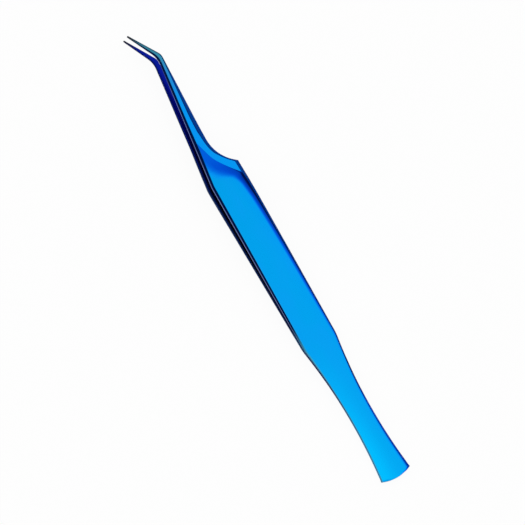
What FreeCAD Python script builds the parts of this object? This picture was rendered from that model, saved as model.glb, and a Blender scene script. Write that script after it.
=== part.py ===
import FreeCAD, Part
import math
import os
import Sketcher

# Precision tweezers with points bent sideways.
#
# Two thin steel arms lie face to face at the tail, where two spot welds hold them, and stand
# apart towards the points. Squeezing the wide grip bends each arm in its thin stretch, just
# ahead of the tail, until the points meet on the middle plane.
#
# The arms are drawn in the tool's own frame: x = 0 at the tail end, with x negative towards the
# points, y across the width, with the points bent to -y, and z = 0 on the middle plane. A
# "station" is a distance from the tail end, so it is drawn at x = -station. At the end all
# pieces get one placement, which lays the tweezers on the lower arm with the origin under the
# middle of their box.

doc = FreeCAD.newDocument("precision_tweezers")
sheet = doc.addObject("Spreadsheet::Sheet", "Sizes")

# ---------------------------------------------------------------- driving dimensions (mm)

DRIVING_SIZES = [
    ("overall_length", 140.0, "tail end to points"),
    # outline seen from above, from the tail end to the grip
    ("tail_half_width", 4.58, "half width where the rounded tail end starts"),
    ("tail_crown", 0.95, "how far the tail end bulges"),
    ("waist_half_width", 3.43, "half width at the narrow waist"),
    ("grip_half_width", 5.29, "half width of the parallel grip"),
    ("grip_start_station", 42.0, "where the waist has widened to the grip"),
    # outline seen from above, from the points back to the grip
    ("point_reach", 4.81, "how far the points stand to the side"),
    ("point_width", 0.32, "width at the very end of a point"),
    ("point_run", 8.9, "points back to the bend, along the length"),
    ("bend_edge_side", 0.94, "y of the bend's outer corner"),
    ("bend_root_width", 1.17, "width of the prong at the bend"),
    ("bend_outer_radius", 2.5, "rounding of the bend's outer corner"),
    ("bend_inner_radius", 6.0, "rounding of the bend's inner corner"),
    ("prong_run", 26.1, "bend back to the end of the hollow"),
    ("notch_edge_side", 0.12, "y of the prong's straight edge there"),
    ("notch_radius", 10.0, "hollow between the prong and the grip"),
    ("shoulder_run", 12.5, "end of the hollow back to where the grip is full width"),
    ("ridge_run", 2.0, "from there back to the highest line across the outer face"),
    # thickness and opening seen from the side
    ("tail_thickness", 0.62, "one arm at the tail"),
    ("thin_end_station", 28.0, "where the thin spring stretch ends"),
    ("flex_run", 4.0, "from there to the centre of bending of each arm"),
    ("grip_start_thickness", 0.86, "one arm at the start of the grip"),
    ("ridge_thickness", 1.87, "one arm under its highest line"),
    ("point_thickness", 0.22, "one arm at the point"),
    ("point_gap", 3.8, "between the points at rest"),
    ("bow", 0.1, "room an arm keeps under its highest line when the points are closed"),
    ("closing_clearance", 0.02, "arm to middle plane when closed"),
    # ground step from the grip down to the prong
    ("step_depth", 0.2, "grip's face down to the prong's face"),
    ("step_left_run", 0.4, "end of the hollow back to the step, at the tapered edge"),
    ("step_right_run", 3.64, "corner of the hollow back to the step, at the grip's bevel"),
    ("step_right_inset", 1.45, "grip's side to that end of the step"),
    ("step_radius", 30.0, "curve of the step, seen from above"),
    # bevels
    ("bevel_start_width", 0.5, "grip bevel at the start of the grip, across"),
    ("bevel_end_width", 1.6, "grip bevel at the hollow, across"),
    ("bevel_slope", 0.56, "grip bevel, depth over width"),
    ("edge_bevel", 0.18, "bevel along the other outer edges"),
    ("prong_left_bevel", 0.35, "bevel along the prong's tapered edge"),
    ("prong_right_bevel", 0.4, "bevel along the prong's straight edge"),
    # welds
    ("weld_diameter", 2.6, "one weld nugget"),
    ("weld_depth", 0.18, "how deep a nugget reaches into each arm"),
    ("weld_first_station", 7.0, "first nugget"),
    ("weld_pitch", 8.0, "first nugget to second"),
    # how far cutting outlines reach past the steel
    ("cut_margin", 3.0, "overrun of cutting outlines"),
]

# ---------------------------------------------------------------- sizes that follow from them

DERIVED_SIZES = [
    ("tail_corner_station", "tail_crown"),
    ("tail_end_radius", "(tail_half_width ^ 2 + tail_crown ^ 2) / (2 * tail_crown)"),
    ("waist_chord", "sqrt((grip_start_station - tail_corner_station) ^ 2"
                    " + (grip_half_width - tail_half_width) ^ 2)"),
    ("waist_hollow", "(grip_half_width + tail_half_width) / 2 - waist_half_width"),
    ("waist_radius", "(waist_chord ^ 2 / 4 + waist_hollow ^ 2) / (2 * waist_hollow)"),
    ("bend_station", "overall_length - point_run"),
    ("notch_run_station", "bend_station - prong_run"),
    ("shoulder_station", "notch_run_station - shoulder_run"),
    ("ridge_station", "shoulder_station - ridge_run"),
    ("prong_angle", "atan((bend_edge_side - notch_edge_side) / (bend_station - notch_run_station))"),
    ("notch_centre_station", "notch_run_station - notch_radius * sin(prong_angle)"),
    ("notch_centre_side", "notch_edge_side + notch_radius * cos(prong_angle)"),
    ("notch_corner_station", "notch_centre_station"
                             " - sqrt(notch_radius ^ 2 - (notch_centre_side - grip_half_width) ^ 2)"),
    ("point_angle", "atan((bend_edge_side + point_reach) / (overall_length - bend_station))"),
    ("point_inner_station", "overall_length - point_width * sin(point_angle)"),
    ("point_inner_side", "point_reach + point_width * cos(point_angle)"),
    ("bend_inner_side", "bend_root_width * cos(point_angle / 2) - bend_edge_side"),
    ("bend_inner_station", "bend_station - bend_root_width * sin(point_angle / 2)"),
    ("flex_station", "thin_end_station + flex_run"),
    ("point_half_gap", "point_gap / 2"),
    ("closing_slope", "(point_half_gap - closing_clearance) / (overall_length - flex_station)"),
    ("closing_angle", "atan(closing_slope)"),
    ("bend_half_gap", "closing_clearance + closing_slope * (bend_station - flex_station)"),
    ("ridge_half_gap", "closing_clearance + closing_slope * (ridge_station - flex_station) + bow"),
    ("grip_slope", "(ridge_half_gap - closing_clearance) / (ridge_station - flex_station)"),
    ("grip_start_half_gap", "closing_clearance + grip_slope * (grip_start_station - flex_station)"),
    ("grip_start_height", "grip_start_half_gap + grip_start_thickness"),
    ("ridge_height", "ridge_half_gap + ridge_thickness"),
    ("prong_height", "ridge_height - step_depth"),
    ("point_height", "point_half_gap + point_thickness"),
    ("flex_height", "tail_thickness + (grip_start_height - tail_thickness)"
                    " * (flex_station - thin_end_station) / (grip_start_station - thin_end_station)"),
    ("taper_slope", "(grip_half_width - bend_inner_side) / (bend_inner_station - shoulder_station)"),
    ("step_left_station", "notch_run_station - step_left_run"),
    ("step_left_side", "grip_half_width - taper_slope * (step_left_station - shoulder_station)"),
    ("step_right_station", "notch_corner_station - step_right_run"),
    ("step_right_side", "grip_half_width - step_right_inset"),
    ("blank_half_width", "max(grip_half_width; point_inner_side) + cut_margin"),
    ("cut_half_width", "blank_half_width + cut_margin"),
    ("cut_height", "ridge_height + cut_margin"),
    ("bevel_start_depth", "bevel_slope * bevel_start_width"),
    ("bevel_end_depth", "bevel_slope * bevel_end_width"),
    ("lean_angle", "atan((ridge_height - tail_thickness) / ridge_station)"),
    ("origin_x", "(overall_length * cos(lean_angle)"
                 " + (point_height - tail_thickness) * sin(lean_angle)) / 2"),
    ("origin_y", "(max(grip_half_width; point_inner_side) - grip_half_width) / 2"),
    ("origin_z", "tail_thickness * cos(lean_angle)"),
]

row = 0
for alias, value, note in DRIVING_SIZES:
    row += 1
    sheet.set("A%d" % row, note)
    sheet.set("B%d" % row, str(value))
    sheet.setAlias("B%d" % row, alias)
for alias, formula in DERIVED_SIZES:
    row += 1
    sheet.set("B%d" % row, "=" + formula)
    sheet.setAlias("B%d" % row, alias)
doc.recompute()


def size(text):
    """Value of an expression in the sheet's names, as a plain number."""
    value = sheet.evalExpression(text)
    return float(getattr(value, "Value", value))


# ---------------------------------------------------------------- drawing helpers

# how a sketch numbers the points of a curve
FIRST_END, LAST_END, CENTRE = range(1, 4)

# two places this close are the same, in mm
SAME_PLACE = 0.001


def origin_plane(body, role):
    """One of the body's own origin planes: XY_Plane, XZ_Plane or YZ_Plane."""
    for feature in body.Origin.OriginFeatures:
        if feature.Role == role:
            return feature
    raise ValueError(role)


def new_sketch(body, name, role):
    sketch = body.newObject("Sketcher::SketchObject", name)
    sketch.AttachmentSupport = [(origin_plane(body, role), "")]
    sketch.MapMode = "FlatFace"
    return sketch


def arc_between(start, end, radius, bulge):
    """Short arc from start to end. bulge is 1 if it swells to the left of the way, -1 to the right."""
    half = (end - start) * 0.5
    left = FreeCAD.Vector(-half.y, half.x, 0).normalize()
    depth = math.sqrt(radius ** 2 - half.Length ** 2)
    centre = start + half - left * (depth * bulge)
    first, last = (end, start) if bulge > 0 else (start, end)
    angles = [math.atan2(point.y - centre.y, point.x - centre.x) for point in (first, last)]
    circle = Part.Circle(centre, FreeCAD.Vector(0, 0, 1), radius)
    return Part.ArcOfCircle(circle, angles[0], angles[1])


def draw_outline(sketch, corners):
    """Closed outline through corners of (x, y, arc), all written in the sheet's names.

    arc is None for a straight side to the next corner, or (radius, bulge) for a round one.
    """
    points = [FreeCAD.Vector(size(x), size(y), 0) for x, y, _ in corners]
    sides = []
    for number, (_, _, arc) in enumerate(corners):
        start = points[number]
        end = points[(number + 1) % len(points)]
        if arc is None:
            line = sketch.addGeometry(Part.LineSegment(start, end), False)
            sides.append((line, FIRST_END, LAST_END))
        else:
            radius, bulge = arc
            curve = sketch.addGeometry(arc_between(start, end, size(radius), bulge), False)
            ends = (LAST_END, FIRST_END) if bulge > 0 else (FIRST_END, LAST_END)
            sides.append((curve,) + ends)
            hold(sketch, radius, "Radius", curve)
    for number, (x, y, _) in enumerate(corners):
        side, near_end = sides[number][:2]
        before, before_end = sides[number - 1][::2]
        sketch.addConstraint(Sketcher.Constraint("Coincident", before, before_end, side, near_end))
        hold_place(sketch, side, near_end, x, y)


def hold(sketch, expression, kind, *where):
    """Adds a constraint whose value follows the sheet."""
    index = sketch.addConstraint(Sketcher.Constraint(kind, *where, size(expression)))
    sketch.setExpression("Constraints[%d]" % index, expression)


def hold_place(sketch, curve, which, x, y):
    """Holds one point of a curve at x, y from the origin, which is the sketch's curve number -1."""
    origin = -1
    hold(sketch, x, "DistanceX", origin, FIRST_END, curve, which)
    hold(sketch, y, "DistanceY", origin, FIRST_END, curve, which)


def named(name):
    """Expression for a size in the sheet. A leading minus stays in front of it."""
    if name.startswith("-"):
        return "-Sizes." + name[1:]
    return "Sizes." + name


def corner(station, side, arc=None):
    """Corner of an outline at a station (drawn at -x) and a distance to the side."""
    return (named("-" + station), named(side), arc)


def rounded(radius, bulge):
    return (named(radius), bulge)


def feature_on(body, kind, name, sketch):
    feature = body.newObject(kind, name)
    feature.Profile = sketch
    sketch.Visibility = False
    return feature


# ---------------------------------------------------------------- outlines shared by the arms


def arm_plan():
    """Outline of a whole arm seen from above, from the tail round to the points and back."""
    return [
        corner("tail_corner_station", "tail_half_width", rounded("tail_end_radius", 1)),
        corner("tail_corner_station", "-tail_half_width", rounded("waist_radius", -1)),
        corner("grip_start_station", "-grip_half_width"),
        corner("shoulder_station", "-grip_half_width"),
        corner("bend_inner_station", "-bend_inner_side"),
        corner("point_inner_station", "-point_inner_side"),
        corner("overall_length", "-point_reach"),
        corner("bend_station", "bend_edge_side"),
        corner("notch_run_station", "notch_edge_side", rounded("notch_radius", -1)),
        corner("notch_corner_station", "grip_half_width"),
        corner("grip_start_station", "grip_half_width", rounded("waist_radius", -1)),
    ]


def cut_to_plan(body):
    """Cuts away everything outside the outline, through the whole height."""
    sketch = new_sketch(body, "plan", "XY_Plane")
    margin = "Sizes.cut_margin"
    far = "-Sizes.overall_length - Sizes.cut_margin"
    draw_outline(sketch, [
        (margin, "-Sizes.cut_half_width", None),
        (margin, "Sizes.cut_half_width", None),
        (far, "Sizes.cut_half_width", None),
        (far, "-Sizes.cut_half_width", None),
    ])
    draw_outline(sketch, arm_plan())
    cut = feature_on(body, "PartDesign::Pocket", "plan_cut", sketch)
    cut.SideType = "Symmetric"
    cut.setExpression("Length", "Sizes.cut_height * 2")


def pad_side_view(body, corners):
    """Solid with the side view's outline, across the whole blank."""
    sketch = new_sketch(body, "side_view", "XZ_Plane")
    draw_outline(sketch, corners)
    pad = feature_on(body, "PartDesign::Pad", "blank", sketch)
    pad.SideType = "Symmetric"
    pad.setExpression("Length", "Sizes.blank_half_width * 2")


def signed(name, hand):
    """Height in an arm's own direction: up for the upper arm, down for the lower one."""
    return name if hand > 0 else "-" + name


def outer_edge(shape, hand, first, last):
    """Name of the edge that runs nearest to two places, each (station, side, height)."""
    places = []
    for station, side, height in (first, last):
        places.append(FreeCAD.Vector(-size(named(station)), size(named(side)), hand * size(named(height))))
    best_name, best_miss = "", math.inf
    for number, edge in enumerate(shape.Edges):
        if len(edge.Vertexes) < 2:
            continue
        start, end = edge.Vertexes[0].Point, edge.Vertexes[-1].Point
        for near, far in ((start, end), (end, start)):
            miss = near.distanceToPoint(places[0]) + far.distanceToPoint(places[1])
            if miss < best_miss:
                best_name, best_miss = "Edge%d" % (number + 1), miss
    return best_name


def bevel_edges(body, name, hand, bevel, runs):
    """Chamfer along the outer edges that run between the given places."""
    doc.recompute()
    base = body.Tip
    chamfer = body.newObject("PartDesign::Chamfer", name)
    chamfer.Base = (base, [outer_edge(base.Shape, hand, first, last) for first, last in runs])
    chamfer.setExpression("Size", named(bevel))
    doc.recompute()


# ---------------------------------------------------------------- the tail half of an arm


def arm_tail(label, hand):
    """Thin welded end of an arm, as far as the place where the arm bends."""
    body = doc.addObject("PartDesign::Body", label)
    body.Label = label
    pad_side_view(body, [
        ("Sizes.cut_margin", "0", None),
        (named("-flex_station"), "0", None),
        corner("flex_station", signed("flex_height", hand)),
        corner("thin_end_station", signed("tail_thickness", hand)),
        ("Sizes.cut_margin", named(signed("tail_thickness", hand)), None),
    ])
    cut_to_plan(body)

    seats = new_sketch(body, "weld_seats", "XY_Plane")
    draw_welds(seats)
    recess = feature_on(body, "PartDesign::Pocket", "weld_recess", seats)
    recess.setExpression("Length", "Sizes.weld_depth")
    recess.Reversed = hand > 0

    tail_right = ("tail_corner_station", "tail_half_width", "tail_thickness")
    tail_left = ("tail_corner_station", "-tail_half_width", "tail_thickness")
    waist_right = ("thin_end_station", "waist_half_width", "tail_thickness")
    waist_left = ("thin_end_station", "-waist_half_width", "tail_thickness")
    flex_right = ("flex_station", "waist_half_width", "flex_height")
    flex_left = ("flex_station", "-waist_half_width", "flex_height")
    bevel_edges(body, "edge_bevel", hand, "edge_bevel", [
        (tail_right, tail_left),
        (tail_right, waist_right),
        (tail_left, waist_left),
        (waist_right, flex_right),
        (waist_left, flex_left),
    ])
    return body


def draw_welds(sketch):
    """Both weld nuggets as circles on the middle plane."""
    radius = "Sizes.weld_diameter / 2"
    for number in range(2):
        x = "-(Sizes.weld_first_station + %d * Sizes.weld_pitch)" % number
        circle = Part.Circle(FreeCAD.Vector(size(x), 0, 0), FreeCAD.Vector(0, 0, 1), size(radius))
        ring = sketch.addGeometry(circle, False)
        hold(sketch, radius, "Radius", ring)
        hold_place(sketch, ring, CENTRE, x, "0")


# ---------------------------------------------------------------- the moving half of an arm


def arm_blade(label, hand):
    """Grip, prong and point of an arm, from the place where the arm bends."""
    body = doc.addObject("PartDesign::Body", label)
    body.Label = label
    pad_side_view(body, [
        corner("flex_station", signed("closing_clearance", hand)),
        corner("ridge_station", signed("ridge_half_gap", hand)),
        corner("bend_station", signed("bend_half_gap", hand)),
        corner("overall_length", signed("point_half_gap", hand)),
        corner("overall_length", signed("point_height", hand)),
        corner("bend_station", signed("prong_height", hand)),
        corner("step_left_station", signed("prong_height", hand)),
        corner("step_left_station", signed("ridge_height", hand)),
        corner("ridge_station", signed("ridge_height", hand)),
        corner("grip_start_station", signed("grip_start_height", hand)),
        corner("flex_station", signed("flex_height", hand)),
    ])
    cut_to_plan(body)

    step = new_sketch(body, "step_outline", "XY_Plane")
    step.setExpression("AttachmentOffset.Base.z", named(signed("prong_height", hand)))
    draw_outline(step, [
        corner("step_left_station", "-cut_half_width"),
        corner("step_left_station", "-step_left_side", rounded("step_radius", -1)),
        corner("step_right_station", "step_right_side"),
        corner("step_right_station", "cut_half_width"),
        ("-Sizes.notch_run_station - Sizes.cut_margin", "Sizes.cut_half_width", None),
        ("-Sizes.notch_run_station - Sizes.cut_margin", "-Sizes.cut_half_width", None),
    ])
    step_cut = feature_on(body, "PartDesign::Pocket", "step", step)
    step_cut.setExpression("Length", "Sizes.cut_height")
    step_cut.Reversed = hand > 0

    grip_start = ("grip_start_station", "grip_start_height")
    cut_side_bevel(body, "grip_bevel", hand, 1,
                   grip_start + ("bevel_start_width", "bevel_start_depth"),
                   ("notch_corner_station", "ridge_height", "bevel_end_width", "bevel_end_depth"))

    round_upright(body, "bend_outer", "bend_station", "bend_edge_side", "bend_outer_radius")
    round_upright(body, "bend_inner", "bend_inner_station", "-bend_inner_side", "bend_inner_radius")

    for side, minus in (("right", ""), ("left", "-")):
        flex = ("flex_station", minus + "waist_half_width", "flex_height")
        widened = ("grip_start_station", minus + "grip_half_width", "grip_start_height")
        bevel_edges(body, "waist_bevel_" + side, hand, "edge_bevel", [(flex, widened)])
    ridge = ("ridge_station", "-grip_half_width", "ridge_height")
    shoulder = ("shoulder_station", "-grip_half_width", "ridge_height")
    step_top = ("step_left_station", "-step_left_side", "ridge_height")
    bevel_edges(body, "shoulder_bevel", hand, "edge_bevel", [(ridge, shoulder), (shoulder, step_top)])
    step_foot = ("step_left_station", "-step_left_side", "prong_height")
    inner_bend = ("bend_inner_station", "-bend_inner_side", "prong_height")
    bevel_edges(body, "left_bevel", hand, "prong_left_bevel", [(step_foot, inner_bend)])
    hollow_end = ("notch_run_station", "notch_edge_side", "prong_height")
    outer_bend = ("bend_station", "bend_edge_side", "prong_height")
    bevel_edges(body, "right_bevel", hand, "prong_right_bevel", [(hollow_end, outer_bend)])
    cut_side_bevel(body, "grip_left_bevel", hand, -1,
                   grip_start + ("edge_bevel", "edge_bevel"),
                   ("ridge_station", "ridge_height", "edge_bevel", "edge_bevel"))
    return body


def cut_side_bevel(body, name, hand, side, start, end):
    """Flat bevel along one side of the grip, as a wedge between two triangles.

    start and end are (station, height, width, depth), and side is 1 for the +y side, -1 for -y.
    Each triangle reaches one bevel width past the bevel, inwards and outwards.
    """
    sections = []
    for place, (station, height, width, depth) in (("start", start), ("end", end)):
        section = new_sketch(body, "%s_%s" % (name, place), "YZ_Plane")
        section.setExpression("AttachmentOffset.Base.z", named("-" + station))
        across = "" if side > 0 else "-"
        upwards = "" if hand > 0 else "-"
        inner = "%s(Sizes.grip_half_width - 2 * %s)" % (across, named(width))
        outer = "%s(Sizes.grip_half_width + %s)" % (across, named(width))
        top = "%s(%s + %s)" % (upwards, named(height), named(depth))
        foot = "%s(%s - 2 * %s)" % (upwards, named(height), named(depth))
        draw_outline(section, [(inner, top, None), (outer, foot, None), (outer, top, None)])
        section.Visibility = False
        sections.append(section)
    wedge = feature_on(body, "PartDesign::SubtractiveLoft", name, sections[0])
    wedge.Sections = [sections[1]]
    wedge.Ruled = True
    doc.recompute()


def round_upright(body, name, station, side, radius):
    """Rounds the corner that stands at one place of the outline."""
    base = body.Tip
    uprights = []
    for number, edge in enumerate(base.Shape.Edges):
        if upright_at(edge, -size(named(station)), size(named(side))):
            uprights.append("Edge%d" % (number + 1))
    fillet = body.newObject("PartDesign::Fillet", name)
    fillet.Base = (base, uprights)
    fillet.setExpression("Radius", named(radius))
    doc.recompute()


def upright_at(edge, x, y):
    """True for an edge that stands along z at x, y."""
    places = [vertex.Point for vertex in edge.Vertexes]
    return all(math.hypot(place.x - x, place.y - y) < SAME_PLACE for place in places)


# ---------------------------------------------------------------- the pieces

pieces = []
for arm_name, hand in (("upper_arm", 1), ("lower_arm", -1)):
    pieces.append(arm_tail(arm_name + "_tail", hand))
    pieces.append(arm_blade(arm_name + "_blade", hand))

welds = doc.addObject("PartDesign::Body", "spot_welds")
welds.Label = "spot_welds"
weld_sketch = new_sketch(welds, "nuggets", "XY_Plane")
draw_welds(weld_sketch)
nuggets = feature_on(welds, "PartDesign::Pad", "nugget", weld_sketch)
nuggets.SideType = "Symmetric"
nuggets.setExpression("Length", "Sizes.weld_depth * 2")
pieces.append(welds)

# ---------------------------------------------------------------- lay the tweezers down

for piece in pieces:
    piece.Placement = FreeCAD.Placement(FreeCAD.Vector(), FreeCAD.Rotation(FreeCAD.Vector(0, 1, 0), 1))
    piece.setExpression("Placement.Rotation.Angle", "Sizes.lean_angle")
    piece.setExpression("Placement.Base.x", "Sizes.origin_x")
    piece.setExpression("Placement.Base.y", "Sizes.origin_y")
    piece.setExpression("Placement.Base.z", "Sizes.origin_z")
doc.recompute()

# ---------------------------------------------------------------- check and write

for item in doc.Objects:
    if "Invalid" in item.State or "Error" in item.State:
        raise RuntimeError("%s failed: %s" % (item.Name, item.State))
for piece in pieces:
    if piece.Shape.isNull() or not piece.Shape.isValid():
        raise RuntimeError("%s has no valid shape" % piece.Label)

os.makedirs("parts", exist_ok=True)
for piece in pieces:
    piece.Shape.exportStep(os.path.join("parts", piece.Label + ".step"))
    box = piece.Shape.optimalBoundingBox()
    print("%-18s %d solid(s)  %9.3f mm3  x %.2f..%.2f  y %.2f..%.2f  z %.2f..%.2f" % (
        piece.Label, len(piece.Shape.Solids), piece.Shape.Volume,
        box.XMin, box.XMax, box.YMin, box.YMax, box.ZMin, box.ZMax))
print("each arm turns %.3f degrees about its bend, %.1f mm from the tail end, to close" % (
    size("Sizes.closing_angle"), size("Sizes.flex_station")))
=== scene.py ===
# %% [markdown]
# # Precision tweezers, dressed over a fixed frame
#
# The solid model already fixes where every part of the tweezers is and how the arms move. This
# lesson gives that frame its looks: two polished arms with a thin blue film, a camera that stands
# where the picture was taken from, and a plain bright studio. All lengths are in metres once they
# reach Blender, and the sizes that are written down here are in millimetres, as on a drawing.

import math

import bmesh
import bpy
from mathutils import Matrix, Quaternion, Vector


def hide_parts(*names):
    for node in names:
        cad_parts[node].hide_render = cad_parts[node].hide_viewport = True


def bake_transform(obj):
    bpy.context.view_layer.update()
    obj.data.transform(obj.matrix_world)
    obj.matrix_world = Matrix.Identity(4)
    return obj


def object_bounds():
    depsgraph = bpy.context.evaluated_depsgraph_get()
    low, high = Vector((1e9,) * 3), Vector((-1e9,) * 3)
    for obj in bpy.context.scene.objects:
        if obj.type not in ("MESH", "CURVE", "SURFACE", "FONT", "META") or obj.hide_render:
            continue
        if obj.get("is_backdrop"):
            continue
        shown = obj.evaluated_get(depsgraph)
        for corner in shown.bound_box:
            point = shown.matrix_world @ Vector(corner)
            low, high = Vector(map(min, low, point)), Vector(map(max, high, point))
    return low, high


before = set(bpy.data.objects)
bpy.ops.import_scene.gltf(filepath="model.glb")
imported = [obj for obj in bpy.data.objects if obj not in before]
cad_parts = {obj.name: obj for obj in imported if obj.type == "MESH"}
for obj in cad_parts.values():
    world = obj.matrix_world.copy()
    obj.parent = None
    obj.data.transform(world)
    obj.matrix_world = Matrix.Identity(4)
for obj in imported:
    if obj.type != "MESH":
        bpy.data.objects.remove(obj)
cad_low, cad_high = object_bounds()

MM = 0.001

# %% [markdown]
# ## The lie of the tool
#
# The tweezers lie on their lower arm, so the plane between the arms leans a little. It is easier to
# draw an arm on its own: the length along -x from the tail end, the height from the middle plane.
# A "station" is a distance from the tail end. At the end each arm is turned by the lean and moved
# to its place, and the box of the frame tells whether it arrived.

# %% the lean and the place of the tail end
LEAN = math.radians(1.511709)
TAIL_PLACE = Vector((69.9954, 0.0, 0.6198)) * MM
ALONG = Vector((math.cos(LEAN), 0, -math.sin(LEAN)))
OUTWARD = Vector((math.sin(LEAN), 0, math.cos(LEAN)))
SIDEWAYS = Vector((0, 1, 0))
print("the middle plane leans", round(math.degrees(LEAN), 2), "degrees")

# %% [markdown]
# ## Soft tables
#
# Widths and heights along an arm are given at a few stations and read off in between. A straight
# reading would leave kinks that a polished arm doesn't have, so each reading is the mean of
# several over a short reach. That rounds the kinks, as a polishing wheel does.

# %% reading a table, straight and softened
READINGS_EACH_SIDE = 6


def straight(table, station):
    """Value at a station, in line between the two nearest entries."""
    if station <= table[0][0]:
        return table[0][1]
    for (near, low), (far, high) in zip(table, table[1:]):
        if station <= far:
            return low + (high - low) * (station - near) / (far - near)
    return table[-1][1]


def soft(table, station, reach):
    """Mean of the straight readings within a reach either side of a station."""
    places = [station + reach * step / READINGS_EACH_SIDE
              for step in range(-READINGS_EACH_SIDE, READINGS_EACH_SIDE + 1)]
    return sum(straight(table, place) for place in places) / len(places)


peak = [(0, 0), (1, 1), (2, 0)]
print("a peak's tip reads", straight(peak, 1), "straight and", round(soft(peak, 1, 0.5), 3), "soft")

# %% [markdown]
# ## The outline seen from above
#
# The outline is the arm's character: a tail that flares to a shallow round end, a long narrow
# waist, a parallel grip, then one side tapers to the point while the other is hollowed out in a
# single round bite. Each hollow is an arc through two places, so one function serves both. Places
# are given as (station, side), and the left side is negative.

# %% places on the outline
TAIL_CORNER = (0.95, 4.58)
GRIP_START = (42.0, 5.29)
NOTCH_CORNER = (95.9271, 5.29)
NOTCH_END = (105.0, 0.12)
SHOULDER = (92.5, -5.29)
INNER_BEND = (130.74, -0.26)
OUTER_BEND = (131.13, 1.0)
POINT_LEFT = (139.78, -5.14)
POINT_RIGHT = (140.04, -4.74)
WAIST_RADIUS, NOTCH_RADIUS = 140.753, 10.0


# %% sides of the outline
def hollow(station, start, end, radius):
    """Side of the arc of a radius that dips between two (station, side) places."""
    middle = (Vector(start) + Vector(end)) / 2
    half = (Vector(end) - Vector(start)) / 2
    out = Vector((-half.y, half.x)).normalized() * math.sqrt(radius ** 2 - half.length_squared)
    centre = middle + (out if out.y > 0 else -out)
    return centre.y - math.sqrt(max(0.0, radius ** 2 - (station - centre.x) ** 2))


def right_side(station):
    if station < GRIP_START[0]:
        return hollow(station, TAIL_CORNER, GRIP_START, WAIST_RADIUS)
    if station <= NOTCH_CORNER[0]:
        return GRIP_START[1]
    if station < NOTCH_END[0]:
        return hollow(station, NOTCH_CORNER, NOTCH_END, NOTCH_RADIUS)
    return straight([NOTCH_END, OUTER_BEND], station)


def left_side(station):
    if station < GRIP_START[0]:
        return -hollow(station, TAIL_CORNER, GRIP_START, WAIST_RADIUS)
    return straight([SHOULDER, INNER_BEND], station)


for station in (1, 20, 42, 96, 100, 105, 125):
    print("station", station, "from", round(left_side(station), 2), "to", round(right_side(station), 2))

# %% [markdown]
# ## Heights seen from the side
#
# Each arm is thin where it springs and thick at the shoulder. The inner face keeps a hair's breadth
# from the middle plane at the tail, where the two arms are welded face to face, and then spreads
# so that the points meet first when the grip is squeezed. The long outer face bends the most
# gently, so it is softened over twice the reach of the others.

# %% inner and outer heights
INNER = [(0, 0.006), (31, 0.006), (34, 0.058), (90.5, 1.138), (131.1, 1.745), (140, 1.9)]
FACE = [(0, 0.62), (28, 0.62), (42, 1.071), (90.5, 3.008), (140, 3.008)]
PRONG = [(90, 2.808), (131.1, 2.808), (140, 2.12)]
FORM_REACH, FACE_REACH = 1.5, 3.0


def inner_height(station):
    return soft(INNER, station, FORM_REACH)


def face_height(station):
    return soft(FACE, station, FACE_REACH)


def prong_height(station):
    return soft(PRONG, station, FORM_REACH)


print("thickness at the shoulder", round(face_height(88) - inner_height(88), 2), "mm")

# %% [markdown]
# ## The ground forms on the outer face
#
# Grinding shapes the outer face. The left edge has a plain bevel. A facet runs along the right side
# of the grip, wider towards the points, and where the round bite begins it goes over into a long
# flank that slopes off the prong's right side. Blender's bevel keeps one width along an edge, and
# these change all the way, so each has a table of how wide it is, and facet and flank have one of
# how deep they go as well. On the slim prong no form may take more than its share of the width.

# %% bevel, facet and flank
BEVEL_WIDTH = [(0, 0.05), (28, 0.08), (42, 0.28), (70, 0.28), (78, 0.26), (90, 0.24), (94, 0.26),
               (99, 0.38), (104, 0.52), (112, 0.38), (131, 0.36), (140, 0.12)]
FACET_WIDTH = [(0, 0.7), (4, 0.5), (20, 0.4), (34, 0.34), (42, 0.36), (50, 0.42), (69, 0.5),
               (85, 0.62), (90, 0.78), (92.4, 1.0), (93.5, 1.2), (95.93, 1.25)]
FACET_DEPTH = [(0, 0.1), (4, 0.07), (20, 0.05), (34, 0.08), (42, 0.24), (69, 0.3), (85, 0.36),
               (90, 0.44), (92.4, 0.55), (95.93, 0.7)]
FLANK_WIDTH = [(95.93, 1.25), (96.3, 1.0), (96.7, 0.85), (98, 0.77), (99.3, 0.85), (100.7, 1.08),
               (104, 1.14), (106, 1.32), (108, 1.54), (112.1, 1.5), (117.6, 1.16), (123, 0.81),
               (130, 0.42), (140, 0.1)]
FLANK_DEPTH = [(95.93, 0.7), (96.3, 0.48), (96.7, 0.39), (98, 0.36), (99.3, 0.4), (100.7, 0.5),
               (104, 0.53), (106, 0.6), (108, 0.68), (112.1, 0.66), (117.6, 0.5), (123, 0.36),
               (130, 0.2), (140, 0.05)]
FLANK_REACH = 0.1
FLANK_SWELL = 0.1
BEVEL_MOST, FLANK_MOST = 0.22, 0.55
print("the facet is", round(straight(FACET_WIDTH, 60), 2), "mm wide at station 60")
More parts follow.
